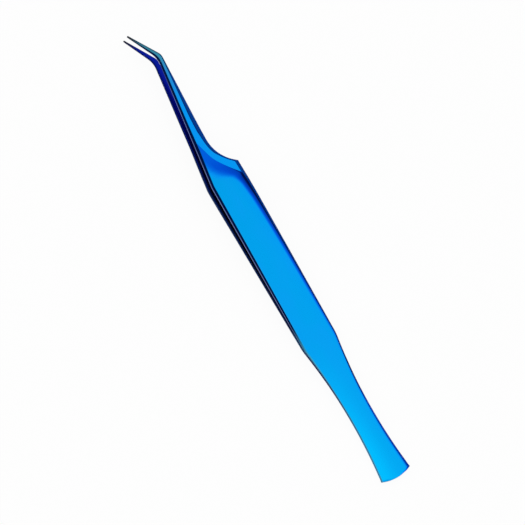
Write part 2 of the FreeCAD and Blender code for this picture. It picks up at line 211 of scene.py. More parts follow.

# %% [markdown]
# Before the face meets the facet it rolls off softly and ends in a narrow, steeper step. The
# colour over the tilt paints that step as a dark line, a painted dark reflection. At the shoulder
# the roll leaves the facet and crosses the face as a curved crease. Past the crease the steel is
# level again, a little lower, and that level band runs on as the prong. A cutter could grind all
# this into a solid, but such a slope is a few tenths of a millimetre deep over its whole width, so
# it is drawn instead: one table says where the crease lies, and the others how wide, how deep and
# how even the roll, the step and the band are.

# %% crease, roll, step and band
CREASE = [(91.98, 3.89), (92.9, 3.4), (93.8, 2.78), (94.9, 1.98), (96.0, 1.16), (97.1, 0.26),
          (98.2, -0.58), (99.3, -1.24), (100.3, -1.7), (101.4, -2.03), (103.0, -2.55),
          (104.9, -3.1)]
CREASE_START, CREASE_END = CREASE[0][0], CREASE[-1][0]
ROLL_WIDTH = [(0, 0.8), (36, 0.6), (45, 0.7), (69, 1.1), (85, 1.5), (90, 1.8), (91.8, 2.6),
              (92.5, 3.6), (94, 6.2), (96, 5.75), (98, 4.7), (100, 3.8), (102, 2.7), (104.9, 1.5)]
ROLL_DEPTH = [(0, 0.02), (36, 0.012), (45, 0.025), (69, 0.06), (85, 0.11), (90, 0.14),
              (92.5, 0.23), (94, 0.36), (96, 0.36), (98, 0.27), (100, 0.2), (102, 0.14),
              (104.9, 0.08)]
ROLL_EVENNESS = [(93.5, 0.0), (96.5, 1.0)]
EVEN_AFTER = 0.4
STEP_WIDTH = [(0, 0.01), (45, 0.04), (60, 0.1), (75, 0.25), (80, 0.34), (85, 0.5), (90, 0.78),
              (92, 0.72), (93.2, 0.45), (94.4, 0.15), (96, 0.01)]
STEP_SLOPE = 0.25
BAND_FALL = [(92, 0.25), (93, 0.02)]
FACE_TO_PRONG = [(100, 0.0), (CREASE_END, 1.0)]
ROLL_REACH, STEP_REACH = 0.8, 0.5
print("the crease runs from station", CREASE_START, "to", CREASE_END)

# %% [markdown]
# ## One section of the arm
#
# A section is the closed ring of corners that a saw cut across the arm would show. All rings have
# the same number of corners, and each corner keeps its job along the whole arm: this one always
# follows the crease, that one always the edge of the facet. That is what keeps ground edges crisp
# and flat faces flat. Where an edge has to stay crisp, two corners stand a hair apart (CLOSE), so
# that smooth shading turns within that hair. The ring is given as distances from the left side, so
# that it can also stand askew in the bend. Past the end of the crease its corners have no more
# work: they run back to a resting share of the prong's level band.

# %% where the ground forms lie in one section
CLOSE = 0.02
CREASE_RUN_BACK, CREASE_REST = 1.5, 0.4


def form_places(station, left, width):
    """Distances from the left side: bevel, crease, step and facet edge; size of facet or flank."""
    bevel = min(soft(BEVEL_WIDTH, station, FORM_REACH), BEVEL_MOST * width)
    if station > NOTCH_CORNER[0]:
        flank = soft(FLANK_WIDTH, station, FLANK_REACH)
        drop = soft(FLANK_DEPTH, station, FLANK_REACH)
    else:
        flank, drop = straight(FACET_WIDTH, station), straight(FACET_DEPTH, station)
    flank = min(flank, FLANK_MOST * width)
    facet_edge = width - flank
    step = soft(STEP_WIDTH, station, STEP_REACH)
    first, last = bevel + 8 * CLOSE, facet_edge - step - 3 * CLOSE
    if station <= CREASE_START:
        crease = last
    elif station < CREASE_END:
        crease = min(last, soft(CREASE, station, ROLL_REACH) - left)
    else:
        back = min(1.0, (station - CREASE_END) / CREASE_RUN_BACK)
        crease = first + back * CREASE_REST * (facet_edge - first)
    return bevel, max(crease, first), step, facet_edge, flank, drop


print("at station 88:", [round(place, 2) for place in form_places(88, -5.29, 10.58)])


# %% how high the outer face is in one section
def face_heights(station, crease, step):
    """Readers of the height left and right of the crease, and the width of the roll."""
    roll = soft(ROLL_WIDTH, station, ROLL_REACH)
    sink = soft(ROLL_DEPTH, station, ROLL_REACH)
    evenness, fall = straight(ROLL_EVENNESS, station), straight(BAND_FALL, station)
    face, prong = face_height(station), prong_height(station)
    face -= straight(FACE_TO_PRONG, station) * (face - prong - sink)

    def upper(place):
        """Height of the face left of the crease, which rolls off towards it."""
        if station >= CREASE_END:
            return prong - fall * place
        near = max(0.0, 1 - (crease - place) / roll)
        even = near ** 2 / (2 * EVEN_AFTER) if near < EVEN_AFTER else near - EVEN_AFTER / 2
        even /= 1 - EVEN_AFTER / 2
        return face - sink * (near ** 2 + evenness * (even - near ** 2))

    def lower(place):
        """Height right of the crease: the rim of the hollow, then the prong."""
        if station >= CREASE_END:
            return prong - fall * place
        return upper(crease) - STEP_SLOPE * step - fall * (place - crease - step)

    return upper, lower, roll


print("the roll is", round(face_heights(88, 8.5, 0.5)[2], 2), "mm wide at station 88")


# %% corners across the outer face
FLAT_SHARES, ROLL_SHARES, FLANK_SHARES = (0.34, 0.67, 1.0), (0.25, 0.5, 0.75), (0.06, 0.4, 0.75, 1.0)


def face_corners(station, left, width):
    """(distance from the left side, height) of the corners over the outer face, left to right."""
    bevel, crease, step, facet_edge, flank, drop = form_places(station, left, width)
    upper, lower, roll = face_heights(station, crease, step)
    top_left = upper(bevel)
    corners = [(place, top_left - bevel + place) for place in (0, CLOSE, bevel - CLOSE)]
    corners.append((bevel, top_left))
    roll_start = max(bevel + 4 * CLOSE, crease - roll)
    flat = roll_start - bevel - CLOSE
    places = [bevel + CLOSE]
    places += [bevel + CLOSE + share * flat for share in FLAT_SHARES]
    places += [roll_start + share * (crease - roll_start) for share in ROLL_SHARES]
    places += [crease - CLOSE / 2, crease]
    corners += [(place, upper(place)) for place in places]
    foot = crease + step
    places = [foot, foot + CLOSE, (foot + facet_edge) / 2, facet_edge - CLOSE, facet_edge]
    corners += [(place, lower(place)) for place in places]
    edge_height = lower(facet_edge)
    for share in FLANK_SHARES:
        swell = FLANK_SWELL * drop * math.sin(math.pi * share)
        corners.append((facet_edge + share * flank, edge_height - drop * share + swell))
    return corners


print("the outer face has", len(face_corners(60, -5.29, 10.58)), "corners in each ring")

# %% [markdown]
# The rest of the ring is plain: down the right wall, round a small edge, back across the inner
# face, and up the left wall in the same way. The foot of each wall draws in by a hair where the
# sharp edge was broken with a stone. On the slim point all of this shrinks with the width and the
# height of the wall.

# %% the whole ring
BREAK_HEIGHT, BREAK_INSET = 0.46, 0.03
INNER_ROUND = 0.04
INNER_SPANS = 8


def ring_corners(station, left, width):
    """(distance from the left side, height) of all corners of one ring."""
    low = inner_height(station)
    corners = face_corners(station, left, width)
    wall = corners[0][1] - low
    rounding = min(INNER_ROUND, 0.1 * width, 0.2 * wall)
    inset = min(BREAK_INSET, 0.05 * width)
    height = min(BREAK_HEIGHT, 0.45 * wall)
    close = min(CLOSE, 0.2 * (height - rounding))
    lean = 0.9 * inset / (height - rounding)
    foot = [(0, height + close), (0.1 * inset, height),
            (0.1 * inset + lean * close, height - close),
            (inset - lean * close, rounding + close), (inset, rounding),
            (inset + 0.3 * rounding, 0.3 * rounding)]
    corners += [(width - inward, low + up) for inward, up in foot]
    far, near = width - inset - rounding, inset + rounding
    for span in range(INNER_SPANS + 1):
        corners.append((far + (near - far) * span / INNER_SPANS, low))
    corners += [(inward, low + up) for inward, up in reversed(foot)]
    return corners


RING_SIZE = len(ring_corners(60, -5.29, 10.58))
print("each ring has", RING_SIZE, "corners")

# %% [markdown]
# ## Where the rings stand
#
# Most rings stand square across the arm, close together where the outline or the ground forms
# change quickly and far apart on the straight grip. Each stretch of the arm is given as its start,
# its end and its number of rings. At the tail the rings curve with its round end, less and less
# until they stand square.

# %% rings from the tail to the prong
TAIL_BULGE = 11.515
TAIL_SETTLED = 4.0
ELBOW_START = 125.2
STRETCHES = [(TAIL_SETTLED, 30.0, 13), (30.0, 46.0, 14), (46.0, 88.0, 14), (88.0, 92.4, 12),
             (92.4, NOTCH_CORNER[0], 14), (NOTCH_CORNER[0], 97.6, 12), (97.6, 106.4, 32),
             (106.4, ELBOW_START, 14)]


def square_ring(station):
    left = left_side(station)
    width = right_side(station) - left
    return [(station, left + away, height) for away, height in ring_corners(station, left, width)]


def tail_ring(station):
    """A ring that bulges like the tail end, and less so towards the first square ring."""
    share = 1 - station / TAIL_SETTLED
    edge_station = TAIL_CORNER[0] * share + station
    half = right_side(max(edge_station, TAIL_CORNER[0]))
    ring = []
    for away, height in ring_corners(edge_station, -half, 2 * half):
        side = away - half
        sweep = TAIL_BULGE - math.sqrt(TAIL_BULGE ** 2 - min(abs(side), TAIL_CORNER[1]) ** 2)
        ring.append((station + sweep * share, side, height))
    return ring


stations = [start + (end - start) * step / count
            for start, end, count in STRETCHES for step in range(count)]
print(len(stations), "square rings")

# %% [markdown]
# In the bend the rings fan out like spokes. The bend's two sides are straight lines with a rounded
# corner. The spokes start at the centre of the inner rounding, and each meets the outer side in one
# place, found by walking along that side.

# %% the rounded sides of the bend
INNER_BEND_RADIUS, OUTER_BEND_RADIUS = 6.0, 2.5
ROUNDING_STEPS = 40


def rounded_side(start, corner, end, radius):
    """Two straight runs with a rounded corner, as points, and the centre of the rounding."""
    start, corner, end = Vector(start), Vector(corner), Vector(end)
    back, ahead = (start - corner).normalized(), (end - corner).normalized()
    half = back.angle(ahead) / 2
    reach = radius / math.tan(half)
    centre = corner + (back + ahead).normalized() * (radius / math.sin(half))
    first, last = corner + back * reach - centre, corner + ahead * reach - centre
    swing = first.angle_signed(last)
    points = [start]
    for step in range(ROUNDING_STEPS + 1):
        turn = -swing * step / ROUNDING_STEPS
        x = first.x * math.cos(turn) - first.y * math.sin(turn)
        y = first.x * math.sin(turn) + first.y * math.cos(turn)
        points.append(centre + Vector((x, y)))
    return points + [end], centre


inner_points, hub = rounded_side((ELBOW_START, left_side(ELBOW_START)), INNER_BEND,
                                 POINT_LEFT, INNER_BEND_RADIUS)
outer_points, _ = rounded_side((ELBOW_START, right_side(ELBOW_START)), OUTER_BEND,
                               POINT_RIGHT, OUTER_BEND_RADIUS)
first_spoke, last_spoke = inner_points[1] - hub, inner_points[-2] - hub
print("the spokes turn", round(math.degrees(first_spoke.angle(last_spoke)), 1), "degrees")

# %% rings of the bend
SPOKES = 17


def crossing(centre, spoke, points):
    """Where a spoke from a centre crosses a line of points."""
    for near, far in zip(points, points[1:]):
        a, b = spoke.cross(near - centre), spoke.cross(far - centre)
        if a * b <= 0 and a != b and spoke.dot(near - centre) > 0:
            return near + (far - near) * (a / (a - b))
    raise ValueError("the spoke misses the side")


def spoke_ring(left, right):
    """Ring between a left and a right place of the outline, standing askew."""
    across = (right - left).normalized()
    width = (right - left).length
    ring = []
    for away, height in ring_corners((left.x + right.x) / 2, left.y, width):
        place = left + across * away
        ring.append((place.x, place.y, height))
    return ring


bend_rings = []
for step in range(SPOKES):
    last_left = inner_points[1 + round(step * ROUNDING_STEPS / (SPOKES - 1))]
    last_right = crossing(hub, last_left - hub, outer_points)
    bend_rings.append(spoke_ring(last_left, last_right))
print(len(bend_rings), "rings in the bend")

# %% [markdown]
# The point tapers from the bend and ends in a small rounded tip, made by rings that shrink towards
# the middle of the last full one. The tail end is rounded in the same way, but only in its height:
# its first rings are cut down a little at the outer and the inner edge.

# %% rings of the point
POINT_RINGS = 8
POINT_HEADING = Vector((math.cos(0.5736), -math.sin(0.5736), 0))
TIP_SHARES_AND_SETBACKS = [(1.0, 0.36), (0.88, 0.26), (0.6, 0.2)]


def shrunk(ring, share, setback):
    """The ring drawn in towards its middle, a setback short of the end."""
    middle = sum((Vector(corner) for corner in ring), Vector()) / len(ring)
    return [tuple(middle + (Vector(corner) - middle) * share - POINT_HEADING * setback)
            for corner in ring]


point_rings = []
for step in range(1, POINT_RINGS + 1):
    share = step / POINT_RINGS
    point_rings.append(spoke_ring(last_left.lerp(Vector(POINT_LEFT), share),
                                  last_right.lerp(Vector(POINT_RIGHT), share)))
end_ring = point_rings.pop()
point_rings += [shrunk(end_ring, share, setback) for share, setback in TIP_SHARES_AND_SETBACKS]
print(len(point_rings), "rings from the bend to the tip")

# %% rings of the tail end, and all together
TAIL_SETBACKS_AND_CUTS = [(0.0, 0.14), (0.05, 0.05), (0.15, 0.0)]
CURVED_STATIONS = (0.8, 1.8, 2.9)
tail_first = tail_ring(0.0)


def thinned(ring, cut):
    """Tail ring that is lower by a cut at its outer edge and by half of it at its inner edge."""
    low, high = inner_height(0), face_height(0)
    return [(x, y, min(max(z, low + cut * 0.5), high - cut)) for x, y, z in ring]


rings = [[(x + setback, y, z) for x, y, z in thinned(tail_first, cut)]
         for setback, cut in TAIL_SETBACKS_AND_CUTS]
rings += [tail_ring(station) for station in CURVED_STATIONS]
rings += [square_ring(station) for station in stations] + bend_rings + point_rings
print(len(rings), "rings from the tail end to the tip")

# %% [markdown]
# ## Modelling the upper arm
#
# The arm could be cut from a block with many cutters, but grinding leaves shallow slopes that such
# cuts shade badly. Drawing it out ring by ring gives even, four-sided faces instead. The start is
# a filled circle with one corner for each job. It is pushed into the shape of the tail end, then
# its face is extruded along the arm again and again, and after each extrusion the new corners are
# moved to where that section has them.


# %% helpers for editing
def only(name):
    """Makes one object the only selected and active one."""
    bpy.ops.object.select_all(action="DESELECT")
    piece = bpy.data.objects[name]
    piece.select_set(True)
    bpy.context.view_layer.objects.active = piece
    return piece


def to_blender(ring):
    """(station, side, height) places as Blender draws them, before the arm is laid down."""
    return [Vector((-station, side, height)) * MM for station, side, height in ring]


def move_corners(piece, targets):
    """Moves each corner of the selected end face to its target, one by one."""
    mesh = bmesh.from_edit_mesh(piece.data)
    end_face = next(face for face in mesh.faces if face.select)
    numbers = [corner.index for corner in end_face.verts]
    bpy.ops.mesh.select_all(action="DESELECT")
    for number, target in zip(numbers, targets):
        mesh = bmesh.from_edit_mesh(piece.data)
        mesh.verts.ensure_lookup_table()
        corner = mesh.verts[number]
        corner.select_set(True)
        bpy.ops.transform.translate(value=target - corner.co)
        mesh.verts[number].select_set(False)
    for number in numbers:
        mesh.verts[number].select_set(True)
    mesh.select_flush(True)
    bmesh.update_edit_mesh(piece.data)


# %% drawing the arm out
START_RADIUS, DRAW = 5 * MM, 0.1 * MM
bpy.ops.object.select_all(action="DESELECT")
bpy.ops.mesh.primitive_circle_add(vertices=RING_SIZE, radius=START_RADIUS, fill_type="NGON",
                                  location=(0, 0, 0), rotation=(0, math.radians(90), 0))
upper_arm = bpy.context.object
upper_arm.name = "upper_arm_strip"
bpy.ops.object.transform_apply(location=False, rotation=True, scale=False)
bpy.ops.object.mode_set(mode="EDIT")
bpy.ops.mesh.select_mode(type="VERT")
bpy.ops.mesh.select_all(action="SELECT")
move_corners(upper_arm, to_blender(rings[0]))
for ring in rings[1:]:
    bpy.ops.mesh.extrude_region_move(TRANSFORM_OT_translate={"value": (-DRAW, 0, 0)})
    move_corners(upper_arm, to_blender(ring))
bpy.ops.mesh.select_all(action="SELECT")
bpy.ops.mesh.normals_make_consistent(inside=False)
bpy.ops.mesh.select_all(action="DESELECT")
bpy.ops.object.mode_set(mode="OBJECT")
print("the arm has", len(upper_arm.data.polygons), "faces")

# %% [markdown]
# The lower arm is the same strip turned over, so it is copied with its own mesh and mirrored in the
# middle plane. A mirror turns the faces inside out, so they are made to point outwards again. Both
# arms are then laid down: turned by the lean and moved to the place of the tail end. Shading is
# smooth except where two faces meet at a sharper angle than SHARPEST_SMOOTH.


# %% copying, mirroring and laying down
SHARPEST_SMOOTH = math.radians(50)


def lay_down(name, mirrored):
    piece = only(name)
    bpy.ops.object.mode_set(mode="EDIT")
    bpy.ops.mesh.select_all(action="SELECT")
    if mirrored:
        bpy.ops.transform.resize(value=(1, 1, -1), center_override=(0, 0, 0))
        bpy.ops.mesh.normals_make_consistent(inside=False)
    bpy.ops.transform.rotate(value=-LEAN, orient_axis="Y", center_override=(0, 0, 0))
    bpy.ops.transform.translate(value=TAIL_PLACE)
    bpy.ops.mesh.select_all(action="DESELECT")
    bpy.ops.object.mode_set(mode="OBJECT")
    bpy.ops.object.shade_smooth_by_angle(angle=SHARPEST_SMOOTH)
    return piece


def in_mm(corner):
    return [round(value / MM, 3) for value in corner]


only("upper_arm_strip")
bpy.ops.object.duplicate(linked=False)
bpy.context.object.name = "lower_arm_strip"
lower_arm = lay_down("lower_arm_strip", True)
upper_arm = lay_down("upper_arm_strip", False)
for piece in (upper_arm, lower_arm):
    corners = [vertex.co for vertex in piece.data.vertices]
    low, high = ([pick(corner[axis] for corner in corners) for axis in range(3)]
                 for pick in (min, max))
    print(piece.name, "from", in_mm(low), "to", in_mm(high), "mm")
print("frame from", in_mm(cad_low), "to", in_mm(cad_high), "mm")

# %% [markdown]
# ## Standing in for the frame's arms
#
# Each real arm is one strip that bends where it is thin. In the frame it is two pieces with a
# hinge. Each strip stands in for both, so the frame's tail and blade pieces of that arm are hidden,
# and the strip's place is baked into its mesh.

# %% hiding the frame's pieces of each arm
for piece, arm in ((upper_arm, "upper_arm"), (lower_arm, "lower_arm")):
    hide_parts(arm + "_tail", arm + "_blade")
    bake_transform(piece)
    print(piece.name, "bends between welded_tail and", arm)

# %% [markdown]
# ## Colour, in the painter's numbers
#
# Colours are written as they are seen on a screen, from 0 to 255. Blender's shaders reckon with
# light, which is not the same scale, so each colour is converted once.


# %% colours
def paint(red, green, blue):
    shares = [channel / 255 for channel in (red, green, blue)]
    light = [s / 12.92 if s <= 0.04045 else ((s + 0.055) / 1.055) ** 2.4 for s in shares]
    return (*light, 1.0)


print("middle grey is", round(paint(128, 128, 128)[0], 3), "of full light")

# %% [markdown]
# ## Small helpers for nodes
#
# A material is a net of nodes. It could be wired by hand, but the film below needs the same few
# steps many times: multiply, rise or fall smoothly over a span of values, mix two colours, read a
# colour from a scale. Each is a short function, so that the film reads like a recipe.


# %% nodes that reckon
def new_node(tree, kind, **settings):
    node = tree.nodes.new(kind)
    for name, value in settings.items():
        setattr(node, name, value)
    return node


def feed(tree, socket, value):
    """Gives a socket its value: another socket is linked, anything else is written into it."""
    if isinstance(value, bpy.types.NodeSocket):
        tree.links.new(value, socket)
    elif value is not None:
        socket.default_value = value


def calculate(tree, operation, first, second=None, third=None):
    """A Math node whose inputs are numbers or sockets."""
    node = new_node(tree, "ShaderNodeMath", operation=operation)
    for socket, value in zip(node.inputs, (first, second, third)):
        feed(tree, socket, value)
    return node.outputs[0]


def product(tree, *factors):
    """All factors multiplied, each a number or a socket."""
    result = factors[0]
    for factor in factors[1:]:
        result = calculate(tree, "MULTIPLY", result, factor)
    return result


def scaled(tree, value, gain, base):
    """A value times a gain, on top of a base."""
    return calculate(tree, "MULTIPLY_ADD", value, gain, base)


def reach_along(tree, direction, source):
    """How far a vector reaches in a direction."""
    node = new_node(tree, "ShaderNodeVectorMath", operation="DOT_PRODUCT")
    feed(tree, node.inputs[0], source)
    feed(tree, node.inputs[1], direction)
    return node.outputs["Value"]


def rise(tree, value, span):
    """0 below a span (low, high), 1 above it, and a smooth way up between."""
    node = new_node(tree, "ShaderNodeMapRange", interpolation_type="SMOOTHSTEP")
    for name, setting in (("Value", value), ("From Min", span[0]), ("From Max", span[1])):
        feed(tree, node.inputs[name], setting)
    return node.outputs["Result"]


def fall(tree, value, span):
    """1 below a span, 0 above it, and a smooth way down between."""
    return calculate(tree, "SUBTRACT", 1.0, rise(tree, value, span))


# %% nodes that colour
def mixed(tree, share, first, second):
    """A colour between two, each a colour or a socket."""
    node = new_node(tree, "ShaderNodeMix", data_type="RGBA", clamp_factor=True)
    for number, value in ((0, share), (6, first), (7, second)):
        feed(tree, node.inputs[number], value)
    return node.outputs[2]


def ramp(tree, value, stops):
    """Painter's colours at places on a scale, as a Color Ramp over that scale."""
    low, high = stops[0][0], stops[-1][0]
    spread = new_node(tree, "ShaderNodeMapRange")
    for name, setting in (("Value", value), ("From Min", low), ("From Max", high)):
        feed(tree, spread.inputs[name], setting)
    node = new_node(tree, "ShaderNodeValToRGB")
    feed(tree, node.inputs["Fac"], spread.outputs["Result"])
    elements = node.color_ramp.elements
    while len(elements) < len(stops):
        elements.new(0.5)
    for element, (place, colour) in zip(elements, stops):
        element.position = (place - low) / (high - low)
        element.color = paint(*colour)
    return node.outputs["Color"]


def new_metal(name):
    """A metal material, with its node tree, its shader and its texture coordinates."""
    material = bpy.data.materials.new(name)
    material.use_nodes = True
    shader = material.node_tree.nodes["Principled BSDF"]
    shader.inputs["Metallic"].default_value = 1.0
    place = new_node(material.node_tree, "ShaderNodeTexCoord")
    return material, material.node_tree, shader, place


# %% [markdown]
# ## Grinding marks, for both metals
#
# A polished tool still shows the last grinding belt: hair-fine lines along its length, and broad
# patches where the belt pressed a little harder. Two noises make them, one stretched along the
# tool and one coarse. They are put in a group, because the blue steel and the bare weld steel use
# the same effect with different strengths.

# %% the grinding group
GROUP_SOCKETS = [("Vector", "NodeSocketVector", "INPUT"), ("Lines", "NodeSocketFloat", "INPUT"),
                 ("Patches", "NodeSocketFloat", "INPUT"), ("Height", "NodeSocketFloat", "OUTPUT"),
                 ("Patch", "NodeSocketFloat", "OUTPUT")]
LINE_STRETCH, PATCH_STRETCH = (0.02, 1.0, 1.0), (0.35, 1.0, 1.0)


def stretched_noise(tree, inside, stretch, scale_name, **settings):
    """Noise on the group's Vector, drawn out along x, at the scale of one of its inputs."""
    mapping = new_node(tree, "ShaderNodeMapping")
    feed(tree, mapping.inputs["Vector"], inside.outputs["Vector"])
    feed(tree, mapping.inputs["Scale"], stretch)
    noise = new_node(tree, "ShaderNodeTexNoise")
    feed(tree, noise.inputs["Vector"], mapping.outputs["Vector"])
    feed(tree, noise.inputs["Scale"], inside.outputs[scale_name])
    for name, value in settings.items():
        feed(tree, noise.inputs[name], value)
    return noise.outputs["Fac"]


grinding = bpy.data.node_groups.new("grinding marks", "ShaderNodeTree")
for name, kind, way in GROUP_SOCKETS:
    grinding.interface.new_socket(name=name, in_out=way, socket_type=kind)
inside, outside = new_node(grinding, "NodeGroupInput"), new_node(grinding, "NodeGroupOutput")
lines = stretched_noise(grinding, inside, LINE_STRETCH, "Lines", Detail=3.0, Roughness=0.6)
patches = stretched_noise(grinding, inside, PATCH_STRETCH, "Patches", Detail=2.0)
feed(grinding, outside.inputs["Height"], lines)
feed(grinding, outside.inputs["Patch"], patches)


def grinding_node(tree, vector, lines, patches):
    node = new_node(tree, "ShaderNodeGroup", node_tree=grinding)
    for name, value in (("Vector", vector), ("Lines", lines), ("Patches", patches)):
        feed(tree, node.inputs[name], value)
    return node


print(grinding.name, "has", len(grinding.nodes), "nodes")

# %% [markdown]
# ## The blue film
#
# The blue is no paint. It is a film a few hundred nanometres thick, and its colour comes from its
# thickness. The film grew from one side, so its colour depends on which way the surface faces, on
# how far along the tool it is, and on which side of the middle plane. The colours by facing and by
# side also hold painted light: painted reflections of a bright room and its dark sides on the outer
# faces, and painted shade between the arms on the inner faces. A picture wrapped round the arms
# could carry the colours too, but it would smear on the narrow bevels. So they are worked out from
# plain readings: the distance from the tail end and to the left, both in millimetres, the lean of
# the surface to either side, and how far it looks up.

# %% what the film is read from
FILM_LINES, FILM_PATCHES = 9000.0, 180.0
blue_film, tree, film_shader, place = new_metal("blue film on polished steel")
spot, normal = place.outputs["Object"], place.outputs["Normal"]
from_tail = scaled(tree, reach_along(tree, ALONG, spot), -1 / MM, TAIL_PLACE.dot(ALONG) / MM)
to_left = product(tree, reach_along(tree, SIDEWAYS, spot), -1 / MM)
above_middle = calculate(tree, "SIGN", calculate(tree, "SUBTRACT", reach_along(tree, OUTWARD, spot),
                                                 TAIL_PLACE.dot(OUTWARD)))
upward = reach_along(tree, OUTWARD, normal)
tilt = reach_along(tree, SIDEWAYS, normal)
left_tilt = product(tree, tilt, -1.0)
steepness = calculate(tree, "ABSOLUTE", tilt)
marks = grinding_node(tree, spot, FILM_LINES, FILM_PATCHES)
print("the tail end is at", round(TAIL_PLACE.dot(ALONG) / MM, 2), "mm along the middle plane")

# %% [markdown]
# ### Outer and inner faces
#
# Level outer faces are bright cyan. Faces that lean to the right turn royal blue and then navy,
# with a dark line and then a paler band between, and faces that lean to the left go through teal
# to navy. Part of this is the film's own colour and part is painted reflection: the lighter blues
# stand for the bright room mirrored in the polish, the dark line and the navy for its dark sides.
# One Color Ramp over the tilt does all that. The inner faces are indigo or nearly black: the film's
# indigo with painted shade between the arms, darkest along the grip and bluer towards the points,
# and there the colour changes only along the tool.

# %% colours of the outer and inner faces, with painted reflection and painted shade
# over the tilt: the film's colour with painted reflections, light for the bright room, dark for its
# sides
TILT_COLOURS_AND_REFLECTIONS = [
    (-1.0, (2, 16, 62)), (-0.62, (0, 18, 62)), (-0.36, (6, 70, 120)), (-0.2, (20, 140, 190)),
    (-0.08, (6, 160, 232)), (0.0, (3, 158, 231)), (0.022, (5, 148, 240)), (0.05, (3, 112, 228)),
    (0.075, (1, 78, 212)), (0.13, (0, 54, 162)), (0.2, (0, 20, 84)), (0.27, (0, 8, 48)),
    (0.35, (5, 56, 138)), (0.48, (8, 58, 134)), (0.6, (2, 24, 96)), (1.0, (2, 14, 70))]
# along the inner faces: the film's indigo with painted shade between the arms
INNER_COLOURS_AND_SHADE = [
    (0.0, (24, 40, 80)), (50.0, (34, 42, 72)), (60.0, (28, 34, 56)), (69.0, (18, 22, 42)),
    (86.0, (8, 17, 60)), (95.0, (8, 16, 88)), (104.0, (14, 26, 128)), (113.0, (14, 28, 150)),
    (124.0, (11, 26, 150)), (133.0, (10, 29, 152)), (140.0, (13, 15, 88))]
outer = ramp(tree, tilt, TILT_COLOURS_AND_REFLECTIONS)
inner = ramp(tree, from_tail, INNER_COLOURS_AND_SHADE)
print(len(TILT_COLOURS_AND_REFLECTIONS), "colours over the tilt,", len(INNER_COLOURS_AND_SHADE), "along the inner faces")

# %% [markdown]
# ### Points and patches
#
# Towards the fine points the level face goes from cyan through teal to grey, with a dark teal
# flank beside it. A painter would need a second picture for that. Here it is a second ramp, along
# the tool, mixed in where the surface is nearly level. The broad patches of the grinding belt then
# make the level face a little lighter here and there, so that it doesn't look sprayed.

# %% colours of the points and patches
POINT_COLOURS = [
    (0.0, (10, 180, 240)), (60.0, (5, 163, 236)), (104.0, (10, 156, 232)), (122.0, (38, 134, 206)),
    (127.0, (48, 138, 190)), (131.0, (56, 140, 168)), (134.5, (54, 126, 146)),
    (137.0, (50, 98, 118)), (140.0, (52, 60, 66))]
POINT_STATIONS = (112.0, 130.0)
NEARLY_LEVEL_TILTS, LEVEL_TILTS = (0.03, 0.3), (0.01, 0.05)
FLANK_STATIONS, FLANK_TILTS, FLANK_STRENGTH = (122.0, 132.0), (0.1, 0.3), 0.8
PATCH_SPAN, PATCH_STRENGTH = (0.35, 0.7), 0.2
FLANK_TEAL, PATCH_BLUE = paint(8, 64, 86), paint(20, 150, 250)
nearly_level, level = (fall(tree, steepness, tilts) for tilts in (NEARLY_LEVEL_TILTS, LEVEL_TILTS))
outer = mixed(tree, product(tree, rise(tree, from_tail, POINT_STATIONS), nearly_level), outer,
              ramp(tree, from_tail, POINT_COLOURS))
flank = product(tree, rise(tree, from_tail, FLANK_STATIONS), rise(tree, tilt, FLANK_TILTS),
                FLANK_STRENGTH)
outer = mixed(tree, flank, outer, FLANK_TEAL)
patch = product(tree, rise(tree, marks.outputs["Patch"], PATCH_SPAN), level, PATCH_STRENGTH)
outer = mixed(tree, patch, outer, PATCH_BLUE)
print("the colour of the points comes in over stations", *POINT_STATIONS)

# %% [markdown]
# ### The pale tail and its edges
#
# Towards the tail the film gets paler, most of all along the left side. Along the very rim of the
# left side, as far as the grip, a lighter blue is a painted highlight where the edge would catch
# the light. The bevels and walls of the thin tail are pale teal instead of navy. Each is one mix
# with its own mask.

# %% colours of the tail and its edges
EDGE_COLOURS = [(0.0, (44, 150, 180)), (16.0, (36, 130, 160)), (29.0, (14, 40, 70)),
                (60.0, (2, 16, 62)), (140.0, (2, 16, 62))]
PALE_STATIONS, PALE_SIDES, PALE_GAIN, PALE_BASE = (8.0, 46.0), (-2.0, 4.4), 0.75, 0.2
RIM_STATIONS, RIM_SIDES, RIM_STRENGTH = (60.0, 98.0), (4.8, 5.15), 0.6
THIN_STATIONS = (38.0, 50.0)
LEANING_TILTS, LEANING_STRENGTH, UPRIGHT_TILTS = (0.2, 0.5), 0.85, (0.78, 0.92)
TAIL_CYAN, RIM_HIGHLIGHT_BLUE, LEANING_TEAL = paint(2, 186, 249), paint(64, 166, 214), paint(66, 178, 214)
paleness = scaled(tree, rise(tree, to_left, PALE_SIDES), PALE_GAIN, PALE_BASE)
pale = product(tree, paleness, fall(tree, from_tail, PALE_STATIONS), level)
outer = mixed(tree, pale, outer, TAIL_CYAN)
# painted highlight: a lighter blue along the left rim of the level face
rim = product(tree, rise(tree, to_left, RIM_SIDES), nearly_level,
              fall(tree, from_tail, RIM_STATIONS), RIM_STRENGTH)
outer = mixed(tree, rim, outer, RIM_HIGHLIGHT_BLUE)
thin = fall(tree, from_tail, THIN_STATIONS)
leaning = product(tree, rise(tree, left_tilt, LEANING_TILTS), thin, LEANING_STRENGTH)
outer = mixed(tree, leaning, outer, LEANING_TEAL)
upright = product(tree, rise(tree, left_tilt, UPRIGHT_TILTS), thin)
outer = mixed(tree, upright, outer, ramp(tree, from_tail, EDGE_COLOURS))
print("the teal of the tail's edges goes out over stations", *THIN_STATIONS)

# %% [markdown]
# ### The painted highlight on the broken edge, and the worn tip
#
# Outer and inner colours meet at the walls. Along the broken edge at the foot of the upper arm's
# walls, which looks down a little, a fine violet line is a painted highlight, where the edge would
# catch light at a low angle. It is weaker on the far side and fades towards the points. A thin
# strip of mesh with a colour of its own could show it, but it would have to follow every change of
# the walls. A mask finds it instead: the walls of the upper arm that look down, but only a little.
# At the tips use has worn the film through to grey steel.

